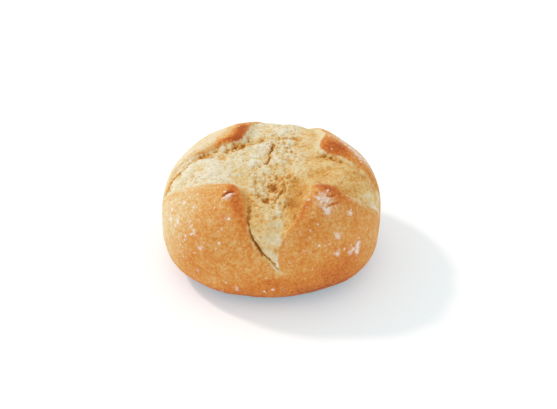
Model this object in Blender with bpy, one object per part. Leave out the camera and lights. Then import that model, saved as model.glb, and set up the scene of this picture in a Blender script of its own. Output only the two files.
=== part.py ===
"""A round bread roll, cross-cut on top and baked until the cut has torn open.

The roll is one solid. It is a flattened bun with a flat base, and on top of it a relief is worked out from
named sizes: four crust lobes with raised rims, the four tapering arms of the open cross between them, the
swells of torn crumb in the arms, the cracks along and across the crumb, and its crags.
Units are metres, +Z is up, and the origin is the middle of the base on the surface that the roll rests on.
"""

import math

import bmesh
import bpy
import mathutils
import numpy as np

# Driving sizes of the bun
WIDTH = 0.0980
DEPTH = 0.0940
CROWN_HEIGHT = 0.0502
WAIST_HEIGHT = 0.0226
BELLY_DEPTH = 0.0243
CROWN_POWER = 3.2
BELLY_POWER = 3.4
# Waves in the plan outline: (waves round the roll, share of the radius, turn in degrees)
OUTLINE_WAVES = ((2, 0.005, 90), (3, 0.020, 292))

# The open cross, laid out on the crown unrolled flat: metres of arc from the crown's middle.
# Its outline runs anticlockwise from arm to arm, past the tip of the crust lobe between them.
CROSS_OUTLINE = {
    "right arm, end": ((0.0625, -0.0130),),
    "back right lobe": (
        (0.0550, -0.0060), (0.0480, -0.0015), (0.0410, 0.0030), (0.0340, 0.0062), (0.0275, 0.0078),
        (0.0232, 0.0100), (0.0228, 0.0150), (0.0240, 0.0240), (0.0225, 0.0380), (0.0160, 0.0520)),
    "back arm, end": ((0.0090, 0.0600),),
    "back left lobe": (
        (0.0000, 0.0500), (-0.0075, 0.0380), (-0.0098, 0.0290), (-0.0118, 0.0210), (-0.0150, 0.0155),
        (-0.0220, 0.0138), (-0.0300, 0.0112), (-0.0390, 0.0060), (-0.0460, 0.0005), (-0.0510, -0.0040)),
    "left arm, end": ((-0.0565, -0.0100),),
    "front left lobe": (
        (-0.0505, -0.0125), (-0.0435, -0.0155), (-0.0345, -0.0174), (-0.0290, -0.0178), (-0.0228, -0.0193),
        (-0.0172, -0.0208), (-0.0142, -0.0242), (-0.0120, -0.0310), (-0.0108, -0.0390), (-0.0098, -0.0465),
        (-0.0066, -0.0549), (-0.0015, -0.0610)),
    "front arm, end": ((0.0055, -0.0675),),
    "front right lobe": (
        (0.0050, -0.0560), (0.0074, -0.0476), (0.0120, -0.0400), (0.0150, -0.0320), (0.0168, -0.0252),
        (0.0190, -0.0208), (0.0235, -0.0195), (0.0290, -0.0212), (0.0350, -0.0232), (0.0430, -0.0228),
        (0.0540, -0.0185)),
}
# The raised tips of the lobes: (x, y, height)
LOBE_TIPS = {
    "front left": (-0.0185, -0.0262, 0.0020),
    "front right": (0.0225, -0.0255, 0.0020),
    "back right": (0.0275, 0.0140, 0.0016),
    "back left": (-0.0160, 0.0240, 0.0024),
}
RIM_HEIGHT = 0.0010
RIM_INSET = 0.0030
RIM_SPREAD = 0.0055
RIM_FADES = (0.0340, 0.0540)
TIP_SPREAD = 0.0085
WALL_WIDTH = 0.0042
CRUMB_DROP = 0.0014

# Swells (+) and hollows (-) of the crumb: (x, y, long radius, short radius, turn in degrees, height)
CRUMB_FORMS = {
    "left arm swell": (-0.0270, -0.0050, 0.0200, 0.0095, 172, 0.0024),
    "middle swell": (0.0020, 0.0070, 0.0110, 0.0090, 0, 0.0012),
    "back arm swell": (0.0050, 0.0300, 0.0170, 0.0120, 90, 0.0012),
    "back arm bulge": (0.0185, 0.0190, 0.0080, 0.0035, 90, 0.0016),
    "right arm swell": (0.0370, -0.0095, 0.0220, 0.0100, -8, 0.0018),
    "front slab": (-0.0020, -0.0480, 0.0120, 0.0045, -78, 0.0010),
    "torn pocket": (-0.0010, -0.0170, 0.0095, 0.0062, 90, -0.0018),
    "hollow beside the pocket": (0.0070, -0.0080, 0.0040, 0.0035, 0, -0.0010),
    "left fold": (-0.0100, -0.0260, 0.0110, 0.0032, 100, -0.0018),
    "right fold": (0.0102, -0.0260, 0.0115, 0.0036, 70, -0.0026),
}

# Cracks in the crumb: (half width, depth, points along it on the unrolled crown)
CRACKS = {
    "under the back left lobe": (0.0012, 0.0034, (
        (-0.0215, 0.0090), (-0.0173, 0.0111), (-0.0144, 0.0120), (-0.0101, 0.0140), (-0.0010, 0.0162))),
    "along the left arm": (0.0011, 0.0024, (
        (-0.0480, -0.0050), (-0.0400, -0.0005), (-0.0330, 0.0035), (-0.0290, 0.0060), (-0.0230, 0.0055))),
    "across the back arm": (0.0009, 0.0016, ((0.0030, 0.0165), (0.0072, 0.0184), (0.0140, 0.0169))),
    "down the middle": (0.0009, 0.0030, ((0.0012, 0.0140), (0.0002, 0.0085), (-0.0014, -0.0025))),
    "beside the front slab": (0.0011, 0.0028, (
        (-0.0080, -0.0290), (-0.0096, -0.0369), (-0.0092, -0.0429), (-0.0078, -0.0494), (-0.0045, -0.0545),
        (0.0040, -0.0635))),
    "below the back right lobe": (0.0009, 0.0012, ((0.0225, 0.0052), (0.0267, 0.0060), (0.0315, 0.0045))),
    "under the pocket's lip": (0.0013, 0.0014, (
        (0.0045, -0.0085), (0.0060, -0.0150), (0.0050, -0.0230), (0.0000, -0.0300))),
}

CRACK_END_WIDTH = 0.3
# How far the cracks stray from their paths, and over what distance
CRACK_WANDER = (0.0008, 0.0035)

# Crags of the torn crumb and the gentle unevenness of the crust: (size, height)
CRAGS = ((0.0060, 0.0006), (0.0030, 0.0005))
CRUST_UNEVENNESS = ((0.0160, 0.0006), (0.0080, 0.0002))
LATTICE_TURN = (0.6, 0.8, 0.4)

SPHERE_SUBDIVISIONS = 7
SHARE_OF_FACES_KEPT = 0.145
PROFILE_STEPS = 721
PATH_STEPS = 4

CRUST_COLOUR = (0.60, 0.27, 0.075)
CRUST_ROUGHNESS = 0.62


def clear_scene():
    """Empties the scene."""
    for obj in list(bpy.data.objects):
        bpy.data.objects.remove(obj, do_unlink=True)


def smooth_step(low, high, value):
    """0 below low and 1 above high, with an S-shaped rise between them."""
    share = np.clip((value - low) / (high - low), 0.0, 1.0)
    return share * share * (3.0 - 2.0 * share)


def lattice_value(ix, iy, iz, seed):
    """A fixed pseudo-random number from -1 to 1 for each whole-number point of space."""
    mixed = (ix * 374761393 + iy * 668265263 + iz * 1103515245 + seed * 974634777) & 0xFFFFFFFF
    mixed = ((mixed ^ (mixed >> 13)) * 1274126177) & 0xFFFFFFFF
    return ((mixed ^ (mixed >> 16)) & 0xFFFF) / 32767.5 - 1.0


def value_noise(points, size, seed):
    """Smooth noise from -1 to 1: lattice values a distance size apart, blended along each axis.

    The lattice is turned, so that its rows don't line up with the roll.
    """
    turned = points @ np.array(mathutils.Euler(LATTICE_TURN).to_matrix())
    scaled = turned / size
    whole = np.floor(scaled).astype(np.int64)
    part = scaled - whole
    part = part * part * part * (part * (part * 6.0 - 15.0) + 10.0)
    total = np.zeros(len(points))
    for corner in range(8):
        step = np.array([corner & 1, corner >> 1 & 1, corner >> 2 & 1])
        weight = np.where(step, part, 1.0 - part).prod(axis=1)
        cell = whole + step
        total += weight * lattice_value(cell[:, 0], cell[:, 1], cell[:, 2], seed)
    return total


def plan_radius(azimuth):
    """The roll's outline from above: an ellipse with a few gentle waves."""
    oval = 1.0 / np.hypot(np.cos(azimuth) / (WIDTH / 2), np.sin(azimuth) / (DEPTH / 2))
    waves = sum(
        share * np.cos(count * azimuth - math.radians(turn)) for count, share, turn in OUTLINE_WAVES
    )
    return oval * (1.0 + waves)


def bun_surface(polar, azimuth):
    """Points and outward normals of the smooth bun, seen from the middle of its waist.

    Above and below the waist the section is |across / radius|^n + |up / height|^n = 1.
    """
    radius = plan_radius(azimuth)
    across, up = np.sin(polar), np.cos(polar)
    above = up >= 0.0
    rise = np.where(above, CROWN_HEIGHT - WAIST_HEIGHT, BELLY_DEPTH)
    power = np.where(above, CROWN_POWER, BELLY_POWER)
    reach = ((across / radius) ** power + (np.abs(up) / rise) ** power) ** (-1.0 / power)
    out, lift = reach * across, reach * up
    points = np.stack([out * np.cos(azimuth), out * np.sin(azimuth), WAIST_HEIGHT + lift], axis=1)
    slope_out = (out / radius) ** (power - 1.0) / radius
    slope_up = np.sign(lift) * (np.abs(lift) / rise) ** (power - 1.0) / rise
    length = np.hypot(slope_out, slope_up)
    normals = np.stack(
        [slope_out * np.cos(azimuth) / length, slope_out * np.sin(azimuth) / length, slope_up / length],
        axis=1,
    )
    return points, normals


def unrolled(polar, azimuth):
    """Where a point lies on the crown unrolled flat: its arc from the crown's middle, along its azimuth."""
    steps = np.linspace(0.0, math.pi, PROFILE_STEPS)
    profile, _ = bun_surface(steps, np.zeros(PROFILE_STEPS))
    arc = np.concatenate([[0.0], np.cumsum(np.linalg.norm(np.diff(profile, axis=0), axis=1))])
    distance = np.interp(polar, steps, arc)
    return np.stack([distance * np.cos(azimuth), distance * np.sin(azimuth)], axis=1)


def smooth_path(corners):
    """Points along a Catmull-Rom curve through the corners."""
    corners = np.array(corners)
    ends = np.concatenate([2 * corners[:1] - corners[1:2], corners, 2 * corners[-1:] - corners[-2:-1]])
    steps = np.linspace(0.0, 1.0, PATH_STEPS, endpoint=False)[:, None]
    runs = []
    for a, b, c, d in zip(ends, ends[1:], ends[2:], ends[3:]):
        cubic = (3 * b - 3 * c + d - a) * steps ** 3 + (2 * a - 5 * b + 4 * c - d) * steps ** 2
        runs.append(0.5 * (cubic + (c - a) * steps + 2 * b))
    return np.concatenate(runs + [corners[-1:]])


def near_path(spot, path):
    """Each point's distance from a path, and the share of the path before the nearest place on it."""
    nearest = np.full(len(spot), np.inf)
    share = np.zeros(len(spot))
    for step, (start, end) in enumerate(zip(path, path[1:])):
        run = end - start
        part = np.clip((spot - start) @ run / (run @ run), 0.0, 1.0)
        distance = np.linalg.norm(spot - start - part[:, None] * run, axis=1)
        closer = distance < nearest
        nearest = np.where(closer, distance, nearest)
        share = np.where(closer, (step + part) / (len(path) - 1), share)
    return nearest, share


def inside(spot, path):
    """Whether each point lies inside a closed path: a ray from it along +X crosses the path an odd number
    of times."""
    crossings = np.zeros(len(spot), int)
    for start, end in zip(path, path[1:]):
        spans = (start[1] > spot[:, 1]) != (end[1] > spot[:, 1])
        rise = end[1] - start[1]
        along = start[0] + (spot[:, 1] - start[1]) * (end[0] - start[0]) / (rise if rise else 1.0)
        crossings += spans & (spot[:, 0] < along)
    return crossings % 2 == 1


def crust_inset(spot):
    """How far each point lies outside the open cross, on the crust. It is negative on the crumb."""
    corners = [corner for part in CROSS_OUTLINE.values() for corner in part]
    path = smooth_path(corners + corners[:1])
    distance, _ = near_path(spot, path)
    return np.where(inside(spot, path), -distance, distance)


def layered_noise(points, layers, seed):
    """Several sizes of noise added up."""
    return sum(rise * value_noise(points, size, seed + turn) for turn, (size, rise) in enumerate(layers))


def crust_relief(spot, points, inset):
    """Height of the crust over the bun: a low rim inside the lobes' edges, and a swell at each lobe's tip."""
    from_ridge = (inset - RIM_INSET) / RIM_SPREAD
    fade = 1.0 - smooth_step(*RIM_FADES, np.linalg.norm(spot, axis=1))
    height = RIM_HEIGHT * fade * np.exp(-from_ridge * from_ridge)
    for x, y, rise in LOBE_TIPS.values():
        from_tip = np.linalg.norm(spot - np.array([x, y]), axis=1) / TIP_SPREAD
        height += rise * np.exp(-from_tip * from_tip)
    return height + layered_noise(points, CRUST_UNEVENNESS, 11)


def form_relief(spot, form):
    """A rounded swell or hollow: a bell over an ellipse."""
    x, y, long_radius, short_radius, turn, height = form
    cosine, sine = math.cos(math.radians(turn)), math.sin(math.radians(turn))
    offset = spot - np.array([x, y])
    along = offset @ np.array([cosine, sine]) / long_radius
    across = offset @ np.array([-sine, cosine]) / short_radius
    return height * np.exp(-(along * along + across * across))


def crack_relief(spot, crack):
    """A crack: a V-shaped furrow along a smooth path, which narrows and closes towards both ends."""
    half_width, depth, corners = crack
    nearest, share = near_path(spot, smooth_path(corners))
    opening = np.sqrt(np.clip(4 * share * (1 - share), 0.0, 1.0))
    across = nearest / (half_width * (CRACK_END_WIDTH + (1.0 - CRACK_END_WIDTH) * opening))
    return -depth * opening * np.clip(1.0 - across, 0.0, 1.0)


def crumb_relief(spot, points):
    """Height of the torn crumb over the bun: sunk below the crust, with its swells, crags and cracks."""
    height = np.full(len(spot), -CRUMB_DROP)
    for form in CRUMB_FORMS.values():
        height += form_relief(spot, form)
    height += layered_noise(points, CRAGS, 1)
    stray, distance = CRACK_WANDER
    wander = stray * np.stack([value_noise(points, distance, 7), value_noise(points, distance, 8)], axis=1)
    for crack in CRACKS.values():
        height += crack_relief(spot + wander, crack)
    return height


def roll_surface(polar, azimuth):
    """The roll's skin: the smooth bun with the relief of its crown raised along the outward normals."""
    points, normals = bun_surface(polar, azimuth)
    spot = unrolled(polar, azimuth)
    inset = crust_inset(spot)
    crust_share = smooth_step(-WALL_WIDTH, 0.0, inset)
    crust = crust_relief(spot, points, inset)
    crumb = crumb_relief(spot, points)
    height = crust_share * crust + (1.0 - crust_share) * crumb
    return points + normals * height[:, None]


def centred_in_plan(points):
    """The points, moved so that the middle of their box from above is at the origin."""
    middle = (points.min(axis=0) + points.max(axis=0)) / 2
    return points - middle * np.array([1.0, 1.0, 0.0])


def make_roll():
    """A fine round ball of triangles, moved out to the roll's skin and then thinned where it is smooth."""
    mesh = bpy.data.meshes.new("bread_roll")
    ball = bmesh.new()
    bmesh.ops.create_icosphere(ball, subdivisions=SPHERE_SUBDIVISIONS, radius=1.0)
    ball.to_mesh(mesh)
    ball.free()
    directions = np.empty(len(mesh.vertices) * 3, np.float32)
    mesh.vertices.foreach_get("co", directions)
    directions = directions.reshape(-1, 3).astype(float)
    polar = np.arccos(np.clip(directions[:, 2], -1.0, 1.0))
    azimuth = np.arctan2(directions[:, 1], directions[:, 0])
    skin = centred_in_plan(roll_surface(polar, azimuth))
    mesh.vertices.foreach_set("co", skin.astype(np.float32).ravel())
    mesh.update()
    mesh.shade_smooth()
    roll = bpy.data.objects.new("bread_roll", mesh)
    thin = roll.modifiers.new("thin where smooth", "DECIMATE")
    thin.ratio = SHARE_OF_FACES_KEPT
    return roll


def make_floor_cutter():
    """A block under the roll, whose top cuts the flat base."""
    mesh = bpy.data.meshes.new("floor_cutter")
    block = bmesh.new()
    bmesh.ops.create_cube(block, size=2 * WIDTH)
    bmesh.ops.translate(block, verts=block.verts, vec=(0.0, 0.0, -WIDTH))
    block.to_mesh(mesh)
    block.free()
    cutter = bpy.data.objects.new("floor_cutter", mesh)
    cutter.display_type = "WIRE"
    cutter.hide_render = True
    return cutter


def make_crust_material():
    """Baked crust: golden brown, dry and half matt."""
    material = bpy.data.materials.new("baked crust")
    material.use_nodes = True
    shader = material.node_tree.nodes["Principled BSDF"]
    shader.inputs["Base Color"].default_value = (*CRUST_COLOUR, 1.0)
    shader.inputs["Roughness"].default_value = CRUST_ROUGHNESS
    shader.inputs["Metallic"].default_value = 0.0
    return material


def add_collection(name, objects):
    """A collection in the scene that holds these objects."""
    collection = bpy.data.collections.new(name)
    bpy.context.scene.collection.children.link(collection)
    for obj in objects:
        collection.objects.link(obj)


def main():
    """Builds the roll and the block that cuts its base flat."""
    clear_scene()
    roll = make_roll()
    roll.data.materials.append(make_crust_material())
    cutter = make_floor_cutter()
    flat_base = roll.modifiers.new("flat base", "BOOLEAN")
    flat_base.operation = "DIFFERENCE"
    flat_base.solver = "EXACT"
    flat_base.object = cutter
    add_collection("bread roll", [roll])
    add_collection("cutters", [cutter])


main()
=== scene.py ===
"""The looks of a round bread roll with an open, torn cross on top.

The roll is one closed skin over its solid. It is a flattened bun whose crown carries four lobes of
baked crust, the pale crumb torn open between them, and the cracks, pores and crags of that crumb.
Units are metres, +Z is up, and the roll rests on the floor at the origin.
"""

import math

import bpy
import mathutils
import numpy as np
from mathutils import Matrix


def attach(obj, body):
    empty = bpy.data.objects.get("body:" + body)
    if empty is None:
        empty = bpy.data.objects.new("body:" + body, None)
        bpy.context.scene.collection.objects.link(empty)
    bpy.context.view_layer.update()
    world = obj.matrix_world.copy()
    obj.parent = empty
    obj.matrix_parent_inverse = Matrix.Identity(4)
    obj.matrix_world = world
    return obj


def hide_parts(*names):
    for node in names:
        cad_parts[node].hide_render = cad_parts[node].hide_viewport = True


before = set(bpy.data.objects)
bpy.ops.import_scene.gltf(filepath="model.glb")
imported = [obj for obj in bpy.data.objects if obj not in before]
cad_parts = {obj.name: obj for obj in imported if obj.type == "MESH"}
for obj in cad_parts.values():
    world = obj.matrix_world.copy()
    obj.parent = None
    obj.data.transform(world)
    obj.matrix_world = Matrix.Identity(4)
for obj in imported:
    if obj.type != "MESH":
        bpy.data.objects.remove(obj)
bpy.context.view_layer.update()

# Driving sizes of the bun, before the waves in its outline
WIDTH = 0.0993
DEPTH = 0.0945
CROWN_HEIGHT = 0.0502
WAIST_HEIGHT = 0.0226
BELLY_DEPTH = 0.0243
CROWN_POWER = 3.2
BELLY_POWER = 3.4
# Waves in the plan outline: (waves round the roll, share of the radius, turn in degrees)
OUTLINE_WAVES = ((2, 0.0045, 90), (3, 0.018, 293), (4, 0.0136, 180))

# The open cross, laid out on the crown unrolled flat: metres of arc from the crown's middle.
# Its outline runs anticlockwise from arm to arm, past the tip of the crust lobe between them.
CROSS_OUTLINE = {
    "right arm, end": ((0.0625, -0.0130),),
    "back right lobe": (
        (0.0550, -0.0060), (0.0480, -0.0015), (0.0410, 0.0030), (0.0340, 0.0062), (0.0275, 0.0078),
        (0.0232, 0.0100), (0.0228, 0.0150), (0.0240, 0.0240), (0.0225, 0.0380), (0.0160, 0.0520)),
    "back arm, end": ((0.0090, 0.0600),),
    "back left lobe": (
        (0.0000, 0.0500), (-0.0075, 0.0380), (-0.0098, 0.0290), (-0.0118, 0.0210), (-0.0150, 0.0155),
        (-0.0220, 0.0138), (-0.0300, 0.0112), (-0.0390, 0.0060), (-0.0460, 0.0005), (-0.0510, -0.0040)),
    "left arm, end": ((-0.0565, -0.0100),),
    "front left lobe": (
        (-0.0505, -0.0125), (-0.0435, -0.0155), (-0.0345, -0.0174), (-0.0290, -0.0178), (-0.0228, -0.0193),
        (-0.0172, -0.0208), (-0.0139, -0.0245), (-0.0117, -0.0310), (-0.0117, -0.0390), (-0.0108, -0.0465),
        (-0.0080, -0.0549), (-0.0024, -0.0612)),
    "front arm, end": ((0.0055, -0.0675),),
    "front right lobe": (
        (0.0050, -0.0560), (0.0074, -0.0476), (0.0120, -0.0400), (0.0150, -0.0320), (0.0168, -0.0252),
        (0.0190, -0.0208), (0.0235, -0.0195), (0.0290, -0.0212), (0.0350, -0.0232), (0.0430, -0.0228),
        (0.0540, -0.0185)),
}
# The raised tips of the lobes: (x, y, height)
LOBE_TIPS = {
    "front left": (-0.0185, -0.0262, 0.0020),
    "front right": (0.0225, -0.0255, 0.0020),
    "back right": (0.0275, 0.0140, 0.0016),
    "back left": (-0.0160, 0.0240, 0.0024),
}
TIP_SPREAD = 0.0085
# The low rim of the crust inside the lobes' edges, and the arcs between which it fades down the sides
RIM_HEIGHT = 0.0010
RIM_INSET = 0.0030
RIM_SPREAD = 0.0055
RIM_FADES = (0.0340, 0.0540)
# The wall between crust and crumb: its width, its depth, and the width over which it turns rough
WALL_WIDTH = 0.0042
CRUMB_DROP = 0.0014
ROUGH_WALL_WIDTH = 0.0018

# Swells (+) and hollows (-) of the crumb: (x, y, long radius, short radius, turn in degrees, height)
CRUMB_FORMS = {
    "left arm swell": (-0.0270, -0.0050, 0.0200, 0.0095, 172, 0.0024),
    "middle swell": (0.0020, 0.0070, 0.0110, 0.0090, 0, 0.0012),
    "back arm swell": (0.0050, 0.0300, 0.0170, 0.0120, 90, 0.0012),
    "back arm bulge": (0.0185, 0.0190, 0.0080, 0.0035, 90, 0.0016),
    "right arm swell": (0.0370, -0.0095, 0.0220, 0.0100, -8, 0.0018),
    "front slab": (-0.0026, -0.0480, 0.0120, 0.0047, -78, 0.0010),
    "torn pocket": (-0.0010, -0.0170, 0.0095, 0.0062, 90, -0.0018),
    "hollow beside the pocket": (0.0070, -0.0080, 0.0040, 0.0035, 0, -0.0010),
    "left fold": (-0.0100, -0.0260, 0.0110, 0.0032, 100, -0.0004),
    "right fold": (0.0090, -0.0285, 0.0145, 0.0036, 70, -0.0019),
}

# Cracks in the crumb, the small ones last: (half width, depth, points along it on the unrolled crown)
CRACKS = {
    "under the back left lobe": (0.0012, 0.0014, (
        (-0.0215, 0.0090), (-0.0173, 0.0111), (-0.0144, 0.0120), (-0.0101, 0.0140), (-0.0010, 0.0162))),
    "along the left arm": (0.0011, 0.0024, (
        (-0.0480, -0.0050), (-0.0400, -0.0012), (-0.0335, 0.0018), (-0.0295, 0.0038), (-0.0240, 0.0048))),
    "across the back arm": (0.0009, 0.0016, ((0.0030, 0.0165), (0.0072, 0.0184), (0.0140, 0.0169))),
    "down the middle": (0.0010, 0.0038, ((0.0012, 0.0140), (0.0002, 0.0085), (-0.0014, -0.0025))),
    "beside the front slab": (0.0010, 0.0027, (
        (-0.0094, -0.0436), (-0.0086, -0.0474), (-0.0075, -0.0515), (-0.0048, -0.0556), (0.0000, -0.0604),
        (0.0046, -0.0650))),
    "beside the top of the front slab": (0.0008, 0.0014, (
        (-0.0091, -0.0370), (-0.0096, -0.0405), (-0.0094, -0.0436))),
    "below the back right lobe": (0.0008, 0.0003, ((0.0225, 0.0052), (0.0267, 0.0060), (0.0315, 0.0045))),
    "under the pocket's lip": (0.0013, 0.0014, (
        (0.0045, -0.0085), (0.0060, -0.0150), (0.0050, -0.0230), (0.0000, -0.0300))),
    "left edge of the pocket": (0.0007, 0.0010, (
        (-0.0055, -0.0110), (-0.0068, -0.0150), (-0.0070, -0.0205), (-0.0052, -0.0242), (-0.0010, -0.0285))),
    "left edge of the left fold": (0.0006, 0.0008, (
        (-0.0082, -0.0290), (-0.0091, -0.0340), (-0.0095, -0.0385))),
    "top of the pocket": (0.0006, 0.0007, ((-0.0050, -0.0100), (-0.0005, -0.0092), (0.0045, -0.0112))),
    "beside the right fold": (0.0006, 0.0011, ((0.0066, -0.0280), (0.0062, -0.0320), (0.0054, -0.0358))),
    "below the middle crack": (0.0006, 0.0009, ((-0.0040, -0.0032), (-0.0048, -0.0062), (-0.0018, -0.0072))),
}
# Short notches under the edges of the back lobes, in the same form
NOTCHES = (
    (0.0008, 0.0010, ((-0.0178, 0.0105), (-0.0168, 0.0078))),
    (0.0009, 0.0012, ((-0.0142, 0.0118), (-0.0128, 0.0090))),
    (0.0008, 0.0010, ((-0.0100, 0.0138), (-0.0086, 0.0112))),
    (0.0008, 0.0010, ((-0.0052, 0.0156), (-0.0034, 0.0122))),
    (0.0006, 0.0008, ((0.0236, 0.0062), (0.0240, 0.0030))),
    (0.0007, 0.0008, ((0.0270, 0.0050), (0.0272, 0.0020))),
    (0.0006, 0.0008, ((0.0308, 0.0035), (0.0312, 0.0008))),
)
# The share of its width that a crack keeps at its ends
CRACK_END_WIDTH = 0.3
# How far the cracks stray from their paths, and over what distance: broadly, and then finely
CRACK_WANDER = ((0.0008, 0.0035), (0.0004, 0.0012))
# How even the cracks are in depth and the ridges in height, and over what distance that changes
CRACK_EVENNESS = 0.6
RIDGE_EVENNESS = 0.5
CRACK_PATCH = 0.0030
# How many times as far as the cracks the ridges stray
RIDGE_STRAY = 1.5

# Crags of the torn crumb, and the gentle unevenness and the grain of the crust: (size, height)
CRAGS = ((0.0060, 0.0006), (0.0030, 0.00025))
FINE_CRAGS = ((0.0017, 0.00024), (0.0010, 0.00020))
CRUST_UNEVENNESS = ((0.0160, 0.0006), (0.0080, 0.0002))
CRUST_GRAIN = ((0.0022, 0.00006), (0.0012, 0.00005))
# How the lattice of the noises is turned about each axis, in radians
LATTICE_TURN = (0.6, 0.8, 0.4)

# Pores of the crumb: (spacing, largest share of the spacing that a pore fills, depth)
PORES = ((0.0027, 0.58, 0.0010), (0.0015, 0.55, 0.0005))
# How far a pore strays from the middle of its cell, in cells, and how much its size varies
PORE_STRAY = 0.4
PORE_VARIETY = 0.4
# Furrows that join the pores up: (size, share of the noise that is furrow, depth)
FURROWS = ((0.0028, 0.13, 0.0004), (0.0016, 0.16, 0.0003))

# Small hollows of the crumb, in the same form as its swells and hollows
SMALL_HOLLOWS = {
    "under the back left lobe": (-0.0115, 0.0112, 0.0100, 0.0019, 25, -0.0002),
    "under the left arm's lip": (-0.0318, 0.0054, 0.0048, 0.0020, 28, -0.0012),
    "end of the left arm's lip": (-0.0213, 0.0022, 0.0022, 0.0012, 75, -0.0007),
    "shelf under the back right lobe": (0.0275, 0.0052, 0.0085, 0.0028, -14, 0.0013),
    "first pit of the left arm": (-0.0342, -0.0100, 0.0012, 0.0009, 60, -0.0008),
    "second pit of the left arm": (-0.0372, -0.0095, 0.0014, 0.0007, 0, -0.0005),
    "heart of the pocket": (0.0018, -0.0170, 0.0030, 0.0018, 60, -0.0010),
    "foot of the pocket": (-0.0018, -0.0262, 0.0022, 0.0014, 120, -0.0008),
}
# Pits torn in the crumb: (x, y, radius, depth)
CRUMB_PITS = (
    (-0.0073, -0.0130, 0.0010, 0.0009), (-0.0021, -0.0108, 0.0013, 0.0010),
    (-0.0046, -0.0122, 0.0009, 0.0008), (0.0027, -0.0120, 0.0011, 0.0009),
    (0.0040, -0.0138, 0.0010, 0.0008), (0.0018, -0.0185, 0.0022, 0.0012),
    (-0.0050, -0.0238, 0.0010, 0.0010), (0.0002, -0.0231, 0.0010, 0.0007),
    (-0.0025, -0.0271, 0.0015, 0.0012), (0.0080, -0.0118, 0.0017, 0.0014),
    (-0.0047, -0.0045, 0.0011, 0.0010), (-0.0021, -0.0021, 0.0011, 0.0014),
    (0.0006, -0.0039, 0.0009, 0.0007), (0.0028, -0.0042, 0.0009, 0.0006), (0.0098, 0.0175, 0.0010, 0.0009),
    (0.0130, 0.0190, 0.0011, 0.0010), (0.0150, 0.0235, 0.0009, 0.0007), (0.0100, 0.0060, 0.0012, 0.0008),
    (0.0085, -0.0010, 0.0013, 0.0009), (0.0090, 0.0110, 0.0011, 0.0008), (0.0120, 0.0140, 0.0010, 0.0008),
    (0.0245, 0.0045, 0.0008, 0.0008), (0.0270, 0.0040, 0.0008, 0.0009), (0.0293, 0.0036, 0.0009, 0.0009),
    (0.0318, 0.0016, 0.0008, 0.0007), (-0.0175, 0.0094, 0.0010, 0.0010), (-0.0150, 0.0102, 0.0009, 0.0009),
    (-0.0202, 0.0088, 0.0008, 0.0008), (-0.0125, 0.0118, 0.0009, 0.0008),
)
# Ridges of the crumb, in the same form as the cracks, with their height in place of a depth
RIDGES = {
    "edge of the right arm's skin": (0.0022, 0.0008, (
        (0.0152, 0.0200), (0.0144, 0.0140), (0.0124, 0.0085), (0.0122, 0.0030), (0.0105, -0.0030),
        (0.0112, -0.0085), (0.0104, -0.0130), (0.0072, -0.0140), (0.0068, -0.0185), (0.0050, -0.0240))),
    "left lip of the pocket": (0.0010, 0.0004, (
        (-0.0070, -0.0100), (-0.0086, -0.0150), (-0.0086, -0.0205), (-0.0066, -0.0255), (-0.0030, -0.0292))),
}

# Small tears in the crust, in the same form as the cracks, and the lip that the first has pushed up
CRUST_TEARS = {
    "front left tip": (0.0009, 0.0012, ((-0.0203, -0.0278), (-0.0178, -0.0264), (-0.0150, -0.0258))),
    "front right tip": (0.0006, 0.0004, ((0.0174, -0.0248), (0.0192, -0.0262), (0.0203, -0.0284))),
    "in the front right tip's flour": (0.0006, 0.0007, (
        (0.0236, -0.0316), (0.0262, -0.0294), (0.0292, -0.0278))),
    "above the front right tip's flour": (0.0005, 0.0006, (
        (0.0232, -0.0268), (0.0256, -0.0262), (0.0276, -0.0246))),
}
TEAR_LIP = (-0.0174, -0.0281, 0.0026, 0.0009, 18, 0.0007)
TEAR_DEPTH = 0.0012

# How rough the crumb is torn: (x, y, long radius, short radius, turn in degrees, more or less roughness)
TORN_BASE = 0.75
TORN_PATCHES = {
    "torn pocket": (-0.0010, -0.0180, 0.0090, 0.0060, 90, 0.55),
    "middle": (0.0040, 0.0080, 0.0120, 0.0110, 0, 0.45),
    "left fold": (-0.0120, -0.0270, 0.0120, 0.0030, 102, -0.8),
    "right fold": (0.0115, -0.0270, 0.0130, 0.0044, 72, -0.9),
    "right arm": (0.0360, -0.0100, 0.0260, 0.0140, -8, -0.55),
    "back right strip": (0.0185, 0.0220, 0.0180, 0.0044, 90, -0.7),
    "front slab": (0.0000, -0.0470, 0.0150, 0.0060, -78, -0.35),
    "left arm": (-0.0340, -0.0080, 0.0200, 0.0090, -8, -0.15),
    "under the back right lobe": (0.0275, 0.0045, 0.0075, 0.0032, -12, 0.40),
    "below the back left lobe's edge": (-0.0190, 0.0115, 0.0140, 0.0034, 25, 0.45),
}

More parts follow.
